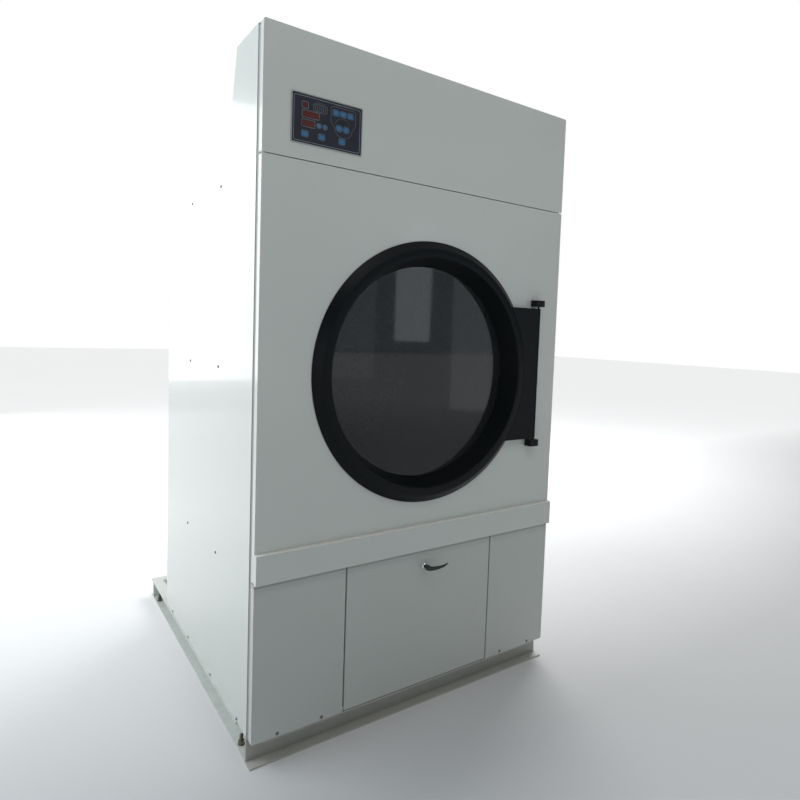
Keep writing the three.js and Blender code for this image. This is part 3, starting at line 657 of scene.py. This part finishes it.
def drive():
    big = [
        (35.4, 1093), (36.4, 1092), (61, 1092), (62, 1093), (62, 1118), (283, 1118), (284, 1117), (284, 1100),
        *grooved(BIG_R),
        (284, 1150), (284, 1131), (283, 1130), (62, 1130), (62, 1157), (61, 1158), (36.4, 1158), (35.4, 1157),
    ]
    turned("drum_pulley_grooved", big, "iron", "drum", count=128,
           replaces=("drum_pulley",), slot="cast_iron")
    motor_x, motor_z = GEARMOTOR
    small = [
        (0, 1096), (40, 1096), (48, 1097), (52, 1100), *grooved(SMALL_R),
        (30, 1150), (30, 1155), (29, 1156), (14, 1156), (14, 1184), (13, 1185), (0, 1185),
    ]
    turned("motor_pulley_grooved", small, "iron", "motor_pulley", motor_x, motor_z, 72,
           replaces=("drive_pulley",), slot="cast_iron")

    # The belts leave each pulley where a straight line touches both.
    dx = motor_x
    dz = motor_z - DOOR_Z
    away = math.atan2(dz, dx)
    half = math.acos((BIG_R - SMALL_R) / math.hypot(dx, dz))
    spots = []
    for i in range(97):
        t = away + half + (2 * math.pi - 2 * half) * i / 96
        spots.append((0, DOOR_Z, BIG_R, t))
    for i in range(25):
        t = away - half + 2 * half * i / 24
        spots.append((motor_x, motor_z, SMALL_R, t))
    belts = Build()
    for y in BELT_Y:
        rings = []
        for cx, cz, r, t in spots:
            ring = []
            for dr, w in ((2.4, -6.2), (3.0, -5.4), (3.0, 5.4), (2.4, 6.2), (-7.6, 3.0), (-7.6, -3.0)):
                ring.append((cx + (r + dr) * math.cos(t), y + w, cz + (r + dr) * math.sin(t)))
            rings.append(ring)
        belts.rings(rings, close=True)
    split_edges(
        belts.make("v_belts", "rubber", "cabinet", smooth=True, replaces=("drive_belt",), slot="rubber"), 28,
    )


# ---------------------------------------------------------------- motors
def finned(b, x, z, r, y0, y1, fins=32):
    """Motor body with cooling fins along its length."""
    outline = []
    step = 2 * math.pi / fins
    for i in range(fins):
        for share, rad in ((0.0, r - 7), (0.32, r - 7), (0.42, r), (0.62, r), (0.72, r - 7)):
            t = (i + share) * step
            outline.append((x + rad * math.cos(t), z + rad * math.sin(t)))
    b.prism(outline, "Y", y0, y1)


def motor_end(name, x, z, r, y0, y1):
    """Fan cowl at the back of a motor, with a ring grille."""
    cowl = [
        (0, y0), (r - 2, y0), (r, y0 + 2), (r, y1 - 10), (r - 3, y1 - 4), (r - 9, y1 - 1), (r - 12, y1 - 1),
    ]
    k = r - 16
    while k > 18:
        cowl += [(k, y1 - 1), (k - 1, y1 - 5), (k - 5, y1 - 5), (k - 6, y1 - 1)]
        k -= 11
    cowl += [(0, y1 - 1)]
    turned(name, cowl, "motor", "cabinet", x, z, 72)


def terminal_box(name, x, half, y0, y1, z0, z1):
    """Box on top of a motor, under a lid that stands out 2 mm all round."""
    b = Build()
    b.prism(rounded(x - half, x + half, y0, y1, 5), "Z", z0, z1)
    b.prism(rounded(x - half - 2, x + half + 2, y0 - 2, y1 + 2, 6), "Z", z1, z1 + 6)
    b.make(name, "motor", "cabinet", bevel=1.0)


def geared_motor():
    x, z = GEARMOTOR
    case = Build()
    case.prism(tile(x, z, 85, 90, 14), "Y", 1161, 1234)
    case.prism(tile(x, z, 70, 75, 20), "Y", 1160, 1162)
    finned(case, x, z, 78, 1233, 1322)
    case.prism([(x - 60, 84), (x + 60, 84), (x + 44, 180), (x - 44, 180)], "Y", 1165, 1340)
    case.make("geared_motor_case", "motor", "cabinet", bevel=1.2,
              replaces=("drive_gearmotor",), slot="motor_paint")
    motor_end("geared_motor_cowl", x, z, 77.5, 1320, 1366)
    plate = Build()
    plate.block(x - 110, x + 110, 1082, 1372, 76.8, 85.4)
    plate.make("geared_motor_plate", "cream_low", "cabinet", bevel=1.0)
    terminal_box("geared_motor_terminal_box", x, 35, 1262, 1340, 295, 341)
    fix = Build()
    for sx in (-95, 95):
        for y in (1098, 1350):
            fix.washer((x + sx, y, 85.4), UP, 11, 2)
            fix.head((x + sx, y, 87), UP, 9, 7, False, 6)
    for sx in (-29, 29):
        for y in (1268, 1334):
            fix.head((x + sx, y, 347), UP, 3.4, 1.6)
    for sx in (-68, 68):
        for sz in (-74, 74):
            fix.head((x + sx, 1161, z + sz), FORWARD, 7, 4.5)
    fix.make("geared_motor_bolts", "zinc", "cabinet")


def fan_motor():
    x, z = FAN_MOTOR
    case = Build()
    case.prism(circle(x, z, 95, 64), "Y", 1068.8, 1082)
    finned(case, x, z, 72, 1080, 1228, 28)
    case.make("fan_motor_case", "motor", "cabinet", bevel=1.0,
              replaces=("blower_motor",), slot="motor_paint")
    motor_end("fan_motor_cowl", x, z, 71.5, 1226, 1270)
    terminal_box("fan_motor_terminal_box", x, 32, 1110, 1190, z + 60, z + 102)
    fix = Build()
    for bolt_x, bolt_z in circle(x, z, 84, 4, 0.5):
        fix.head((bolt_x, 1082, bolt_z), BACKWARD, 6.5, 5, False, 6)
    fix.make("fan_motor_bolts", "zinc", "cabinet")


# ---------------------------------------------------------------- latch of the lint door
def latch():
    boss = [
        (7.3, -0.4), (13.6, -0.4), (14, -1), (14, -3.2), (13.4, -5.6), (12.2, -8.2), (10.6, -10.6),
        (9.4, -11.7), (8.2, -12), (7.3, -11.6),
    ]
    turned("latch_boss_turned", boss, "chrome", "lint_door", 0, LATCH_Z, 72,
           replaces=("latch_boss",), slot="chrome")
    arm = Build()
    shaft = [
        (0, -31), (6.5, -31), (8.6, -30.2), (9.5, -28), (9.5, -21.5), (8.4, -19.4), (7, -18.8), (7, 13.4),
        (6.4, 14), (0, 14),
    ]
    arm.lathe(shaft, 0, LATCH_Z, 40)
    # Sections along the lever: X, Y, Z above the axis, then half its depth and half its height.
    key = [
        (0, -26, -2, 4.6, 7.6), (8, -28.6, -3.4, 4.4, 7.6), (18, -30.8, -4.2, 3.9, 7.2),
        (30, -32.4, -4.4, 3.4, 6.6), (42, -33.6, -3.8, 3.0, 5.9), (53, -34.8, -2.4, 2.7, 5.1),
        (62, -35.8, -0.2, 2.4, 4.3), (69, -36.7, 2.6, 2.0, 3.4), (74.5, -37.5, 6.2, 1.4, 2.2),
        (76, -37.7, 7.6, 0.6, 1.0),
    ]
    rings = []
    for i, (x, y, z, hy, hz) in enumerate(key):
        a = Vector(key[max(i - 1, 0)][:3])
        b = Vector(key[min(i + 1, len(key) - 1)][:3])
        run = (b - a).normalized()
        out = Vector((0, -1, 0))
        out = (out - run * out.dot(run)).normalized()
        up = run.cross(out)
        ring = []
        for j in range(20):
            t = 2 * math.pi * j / 20
            v = Vector((x, y, LATCH_Z + z)) + out * (hy * math.cos(t)) + up * (hz * math.sin(t))
            ring.append(tuple(v))
        rings.append(ring)
    arm.rings(rings, close=False, cap_start=True, cap_end=True)
    cam = rounded(-7, 34, LATCH_Z - 8, LATCH_Z + 8, 6)
    arm.prism(cam, "Y", 10, 13.5)
    obj = arm.make("latch_lever_forged", "lever", "latch", smooth=True,
                   replaces=("latch_lever",), slot="chrome")
    split_edges(obj, 40)


# ---------------------------------------------------------------- keypad
PANEL = (-515.0, -294.0, 1821.0, 1956.0)  # left, right, bottom and top
PANEL_W = PANEL[1] - PANEL[0]
PANEL_H = PANEL[3] - PANEL[2]

# Front and back of each layer, along Y.
PRINT = (-1.72, -1.55)
RIM = (-1.8, -1.5)
LAMP_WINDOW = (-1.8, -1.4)
DISPLAY = (-1.9, -1.4)
LAMP = (-2.0, -1.7)
CAP = (-2.1, -0.9)
MARK = (-2.16, -2.05)

# Middle, width and height of each display, as shares of the panel's width and height.
DISPLAYS = ((0.175, 0.21, 0.072, 0.105), (0.256, 0.39, 0.225, 0.12), (0.224, 0.58, 0.17, 0.12))
# Name, middle as shares of the panel, then width, height and corner radius in mm, and its mark.
KEYS = [
    ("key_top_1", 0.613, 0.218, 18.5, 15, 3.4, "bar"), ("key_top_2", 0.719, 0.215, 18.5, 15, 3.4, "ring"),
    ("key_top_3", 0.829, 0.216, 18.5, 15, 3.4, "bars"), ("key_oval_1", 0.664, 0.53, 20, 16.5, 7.9, "up"),
    ("key_oval_2", 0.77, 0.53, 20, 16.5, 7.9, "down"), ("key_square_1", 0.178, 0.8, 19, 15.5, 3.4, "ring"),
    ("key_square_2", 0.413, 0.8, 19, 15.5, 3.4, "bar"), ("key_square_3", 0.713, 0.8, 19, 15.5, 3.4, "bars"),
    ("key_round_1", 0.374, 0.576, 11, 11, 5.3, "up"), ("key_round_2", 0.46, 0.578, 11, 11, 5.3, "down"),
]


def on_panel(u, v):
    """X and Z of a place given across and down the panel, as shares of its width and height."""
    return PANEL[0] + u * PANEL_W, PANEL[3] - v * PANEL_H


def panel_arc(u, v, ru, rv, start, end, steps=12):
    """Points of an elliptical arc, in the panel's own coordinates."""
    turns = [start + (end - start) * i / steps for i in range(steps + 1)]
    return [(u + ru * math.cos(t), v + rv * math.sin(t)) for t in turns]


def strip(b, points, width, y0, y1, closed=True):
    """Thin raised line through points in X and Z, mitred at its corners."""
    n = len(points)
    rings = []
    for i, p in enumerate(points):
        prev = Vector(points[(i - 1) % n] if closed or i else p)
        nxt = Vector(points[(i + 1) % n] if closed or i < n - 1 else p)
        a = (Vector(p) - prev)
        c = (nxt - Vector(p))
        a = a.normalized() if a.length else c.normalized()
        c = c.normalized() if c.length else a
        side = Vector((-(a + c).y, (a + c).x)).normalized()
        k = width / 2 / max(0.4, math.cos(a.angle(c) / 2) if a.length and c.length else 1)
        o = Vector(p) + side * k
        q = Vector(p) - side * k
        rings.append([(o.x, y0, o.y), (q.x, y0, q.y), (q.x, y1, q.y), (o.x, y1, o.y)])
    b.rings(rings, close=closed, cap_start=not closed, cap_end=not closed)


def printed_lines():
    """Border, shield, arch, key outlines and two rows of dashes."""
    x0, x1, z0, z1 = PANEL
    border = Build()
    strip(border, rounded(x0 + 5, x1 - 5, z0 + 5, z1 - 5, 6), 1.3, *PRINT)
    border.make("keypad_border", "border", "cabinet")
    lines = Build()
    shoulders = [(0.54, 0.125), (0.565, 0.09), (0.885, 0.09), (0.908, 0.125), (0.908, 0.40)]
    bowl = panel_arc(0.727, 0.55, 0.127, 0.168, 0.0, math.pi)
    strip(lines, [on_panel(u, v) for u, v in shoulders + bowl + [(0.545, 0.42)]], 0.9, *PRINT)
    arch = panel_arc(0.716, 0.47, 0.109, 0.165, 1.05 * math.pi, 1.9 * math.pi)
    strip(lines, [on_panel(u, v) for u, v in arch], 0.8, *PRINT, closed=False)
    gap = 1.5
    for name, u, v, w, h, r, _ in KEYS:
        x, z = on_panel(u, v)
        outline = tile(x, z, w / 2 + gap, h / 2 + gap, r + gap, 6)
        strip(lines, outline, 1.3 if "round" in name else 0.7, *PRINT)
    for row in (0.105, 0.325):
        for i in range(5):
            x, z = on_panel(0.33 + 0.03 * i, row)
            lines.prism(tile(x, z, 1.4, 0.5, 0.4, 2), "Y", *PRINT)
    lines.make("keypad_lines", "line", "cabinet")


def displays():
    """Three displays and a lamp window, each in a rim."""
    glass = Build()
    rims = Build()
    for u, v, w, h in DISPLAYS:
        x, z = on_panel(u, v)
        half_w, half_h = w * PANEL_W / 2, h * PANEL_H / 2
        glass.prism(tile(x, z, half_w, half_h, 1.2, 3), "Y", *DISPLAY)
        strip(rims, tile(x, z, half_w + 2, half_h + 2, 2.6, 3), 1.2, *RIM)
    glass.make("keypad_displays", "display", "cabinet", bevel=0.2)
    x, z = on_panel(0.39, 0.217)
    window = Build()
    window.prism(tile(x, z, 20, 9, 1.2, 3), "Y", *LAMP_WINDOW)
    window.make("keypad_lamp_window", "led", "cabinet", bevel=0.2)
    lamps = Build()
    for i in range(6):
        for j in range(3):
            lamps.prism(tile(x - 15 + 6 * i, z - 5 + 5 * j, 1, 1, 0.9, 3), "Y", *LAMP)
    lamps.make("keypad_lamps", "line", "cabinet")
    strip(rims, tile(x, z, 21, 10, 1.6, 3), 0.9, *RIM)
    rims.make("keypad_window_rims", "line", "cabinet")


def key_mark(b, mark, x, z, s):
    """Raised sign on a key: a triangle, one or two bars, or a ring."""
    if mark == "up":
        b.prism([(x - s, z - s * 0.7), (x + s, z - s * 0.7), (x, z + s)], "Y", *MARK)
    elif mark == "down":
        b.prism([(x - s, z + s * 0.7), (x, z - s), (x + s, z + s * 0.7)], "Y", *MARK)
    elif mark == "bar":
        b.prism(tile(x, z, s * 1.3, 0.6, 0.5, 3), "Y", *MARK)
    elif mark == "bars":
        for k in (-1, 1):
            b.prism(tile(x, z + k * s * 0.6, s * 1.2, 0.5, 0.4, 3), "Y", *MARK)
    else:
        strip(b, tile(x, z, s, s, s * 0.98), 0.8, *MARK)


def keypad():
    printed_lines()
    displays()
    for name, u, v, w, h, r, mark in KEYS:
        x, z = on_panel(u, v)
        body = name + "_cap"
        cap = Build()
        cap.prism(tile(x, z, w / 2, h / 2, r, 6), "Y", *CAP)
        cap.make(body + "_moulded", "key", body, bevel=0.35, segments=3, replaces=(name,), slot="key_blue")
        sign = Build()
        key_mark(sign, mark, x, z, h * 0.2)
        sign.make(name + "_mark", "line", body)


# ---------------------------------------------------------------- fasteners
SCREW_R = 5.2  # radius of a panel screw's head
SIDE_SCREWS = [(363, 1743), (714, 1741), (368, 1160), (720, 1159), (371, 533), (732, 531),
               (130, 86), (411, 86), (709, 86), (960, 86)]  # Y and Z


def fasteners():
    for side, s in (("left", -1), ("right", 1)):
        b = Build()
        for y, z in SIDE_SCREWS:
            b.head((s * SIDE_X, y, z), (s, 0, 0), SCREW_R, 2.3)
        b.head((s * 598.2, 36, 94), (s, 0, 0), 2.6, 0.8, sides=14)
        b.make("side_screws_" + side, "screw", "cabinet")
    b = Build()
    for x in (-520, -375, 375, 520):
        b.head((x, 0, 86), FORWARD, SCREW_R, 2.6)
    b.make("kick_panel_screws", "screw", "cabinet")
    b = Build()
    rear = [(x, z) for x in (-560, -370, -185, 185, 370, 560) for z in (110, 1735)]
    rear += [(x, z) for x in (-560, 560) for z in (400, 700, 1000, 1300, 1550)]
    for x, z in rear:
        b.head((x, REAR_Y, z), BACKWARD, SCREW_R, 1.7)
    for x in (-580, -300, 0, 300, 580):
        for y in (360, 1040):
            b.head((x, y, ROOF_Z), UP, SCREW_R, 2.3)
    b.make("rear_and_roof_screws", "zinc", "cabinet")
    b = Build()
    for z in (1419.5, 890.0):
        for x in (466, 494):
            b.head((x, -30, z), FORWARD, 4.2, 0.8)
    b.make("hinge_block_screws", "dark", "cabinet")


ANCHOR_X = 587
ANCHOR_Y = (("front", 120), ("rear", 1270))
THREAD_Z = (19.0, 36.4)  # where the open thread starts and stops
THREAD_PITCH = 0.9


def anchor_bolts():
    stud = [(5.2, 1.0), (6, 2), (6, THREAD_Z[0])]
    z = THREAD_Z[0]
    while z < THREAD_Z[1]:
        stud += [(5.1, z + THREAD_PITCH / 2), (6, z + THREAD_PITCH)]
        z += THREAD_PITCH
    stud.append((5.0, 38))
    for side, s in (("left", -1), ("right", 1)):
        for end, y in ANCHOR_Y:
            name = f"anchor_bolt_{side}_{end}"
            x = s * ANCHOR_X
            b = Build()
            rings = [[(a, c, h) for a, c in circle(x, y, r, 24)] for r, h in stud]
            b.rings(rings, close=False, cap_start=True, cap_end=True)
            b.washer((x, y, 6.3), UP, 11, 2.4)
            b.prism(circle(x, y, 9.9, 6), "Z", 8.7, 19.6)
            b.make(name + "_threaded", "anchor", "cabinet", bevel=0.7, replaces=(name,), slot="zinc_steel")


# ---------------------------------------------------------------- louvres, covers, mesh
def louvre(b, x0, x1, base, along, out, height, proud):
    """Pressed louvre, steep at its lower lip and running out above.

    base is a point on the sheet, along its way up, and out the way it faces.
    """
    def at(x, s, h):
        v = Vector(base) + Vector(along) * s + Vector(out) * h
        return (x, v.y, v.z)

    steps = [(0.0, 0.0), (0.03, 0.75), (0.12, 0.97), (0.3, 1.0), (0.55, 0.8), (0.8, 0.35), (1.0, 0.0)]
    rings = []
    for x, k in ((x0, 0.05), (x0 + 3, 0.6), (x0 + 7, 1.0), (x1 - 7, 1.0), (x1 - 3, 0.6), (x1, 0.05)):
        top = [at(x, s * height, h * proud * k + 0.05) for s, h in steps]
        low = [at(x, s * height, -0.3) for s, h in reversed(steps)]
        rings.append(top + low)
    b.rings(rings, close=False, cap_start=True, cap_end=True)


def back_details():
    b = Build()
    # The back of the hood slopes: its way up, and the way it faces.
    along = Vector((0, -96, 364.7)).normalized()
    out = Vector((0, 364.7, 96)).normalized()
    for i in range(9):
        base = Vector((0, 318, 1765.3)) + along * (90 + 22 * i)
        for x0 in (-470, -250, 90, 310):
            louvre(b, x0, x0 + 160, base, along, out, 13, 6)
    for i in range(8):
        base = Vector((0, REAR_Y, 1520 + 20 * i))
        for x0 in (-420, -130, 160):
            louvre(b, x0, x0 + 250, base, UP, BACKWARD, 12, 6)
    split_edges(b.make("pressed_louvres", "cream", "cabinet", smooth=True), 40)
    cover = Build()
    cover.prism(rounded(300, 500, 520, 800, 8), "Y", REAR_Y + 0.1, 1071.5)
    cover.make("rear_service_cover", "cream", "cabinet", bevel=0.8)
    fix = Build()
    for x in (312, 488):
        for z in (532, 660, 788):
            fix.head((x, 1071.5, z), BACKWARD, 4.6, 2)
    fix.make("service_cover_screws", "zinc", "cabinet")
    gland = [
        (0, REAR_Y + 0.1), (17, REAR_Y + 0.1), (17, 1074), (13.5, 1075), (13.5, 1086), (11, 1092), (7, 1093),
        (7, 1084), (0, 1084),
    ]
    turned("cable_gland", gland, "dark", "cabinet", *CABLE_GLAND, 48)
    rim = [(94.9, 1166), (97.2, 1167), (98, 1170), (97.2, 1173), (94.9, 1174)]
    turned("exhaust_rim", rim, "galv", "cabinet", *EXHAUST, 96)


WIRE_PITCH = 6


def lint_mesh():
    """Upright and level wires over the lint screen's nine windows."""
    b = Build()
    for i in range(3):
        for j in range(3):
            x0, z0 = -262 + i * 178, 94 + j * 148
            for k in range(1, 28):
                x = x0 + WIRE_PITCH * k
                b.block(x - 0.5, x + 0.5, 205.2, 206.2, z0 - 1, z0 + 139)
            for k in range(1, 23):
                z = z0 + WIRE_PITCH * k
                b.block(x0 - 1, x0 + 169, 206.2, 207.2, z - 0.5, z + 0.5)
    b.make("lint_wire_mesh", "zinc", "cabinet")


def seal_strip():
    """Foam strip behind the lint door's edge."""
    b = Build()
    outer = rounded(-293, 293, 84, 549, 4)
    strip(b, outer, 3.0, 17, 21.4)
    b.make("lint_door_foam", "rubber", "lint_door")


# ---------------------------------------------------------------- floor and lights
FLOOR_HALF = 30       # metres
FLOOR_DROP = 0.0005   # metres below the base, so that no two faces share a plane


def floor():
    """Pale paper that glows more towards the back and far from the machine."""
    mesh = bpy.data.meshes.new("studio_floor")
    corners = [(x * FLOOR_HALF, y * FLOOR_HALF, 0) for x, y in ((-1, -1), (1, -1), (1, 1), (-1, 1))]
    mesh.from_pydata(corners, [], [(0, 1, 2, 3)])
    obj = bpy.data.objects.new("studio_floor", mesh)
    bpy.context.collection.objects.link(obj)
    obj.location.z = -FLOOR_DROP
    m, tree, bsdf, coord = shader("floor_paper")
    tone = two_tone(tree, noise(tree, coord, 0.6, 3), (0.56, 0.565, 0.57), (0.59, 0.595, 0.60))
    tree.links.new(tone, bsdf.inputs["Base Color"])
    bsdf.inputs["Roughness"].default_value = 0.9
    reach = tree.nodes.new("ShaderNodeVectorMath")
    reach.operation = "LENGTH"
    tree.links.new(coord, reach.inputs[0])
    behind = spread(tree, part_of(tree, coord, "Y"), 0.0, 0.66, -1.0, 2.0)
    distant = spread(tree, reach.outputs["Value"], 0.0, 0.42, 3.5, 10.0)
    bsdf.inputs["Emission Color"].default_value = (1, 1, 1, 1)
    tree.links.new(calc(tree, "MAXIMUM", behind, distant), bsdf.inputs["Emission Strength"])
    mesh.materials.append(m)


def lights():
    """Soft lights, and three tall windows and a wall for the glass to reflect."""
    area_light("key_left", (-2.9, 0.5, 3.5), (-0.6, 0.1, 1.7), 2.4, 1.8, 70, (0.84, 0.935, 1.0))
    area_light("side_sheen", (-2.8, 7.0, 2.55), (-0.6, 0.0, 2.4), 3.6, 4.2, 78)
    area_light("floor_wash", (2.8, 1.8, 3.6), (1.7, 1.0, 0.0), 3.0, 3.0, 150)
    area_light("room_wall", (1.6, -4.4, 2.16), (0.2, -0.6, 1.3), 5.0, 2.2, 11, (0.80, 0.93, 1.0))
    area_light("front_high", (-0.3, -2.5, 3.9), (-0.1, -0.66, 1.5), 2.0, 0.8, 14)
    area_light("left_fill", (-3.4, -2.3, 1.9), (0.0, -0.6, 1.2), 1.4, 1.4, 7, (0.86, 0.94, 1.0))
    for name, x, z, width, height, power in (
        ("window_a", 2.05, 1.75, 0.34, 1.1, 1.2),
        ("window_b", 2.80, 1.45, 0.42, 1.9, 0.8),
        ("window_c", 1.35, 1.60, 0.50, 1.5, 0.4),
    ):
        area_light(name, (x, -3.7, z), (0.0, -0.6, 1.2), width, height, power, (0.88, 0.95, 1.0))


make_camera()
make_world()
carry_over()
loading_door()
drum()
drive()
geared_motor()
fan_motor()
latch()
keypad()
fasteners()
anchor_bolts()
back_details()
lint_mesh()
seal_strip()
floor()
lights()
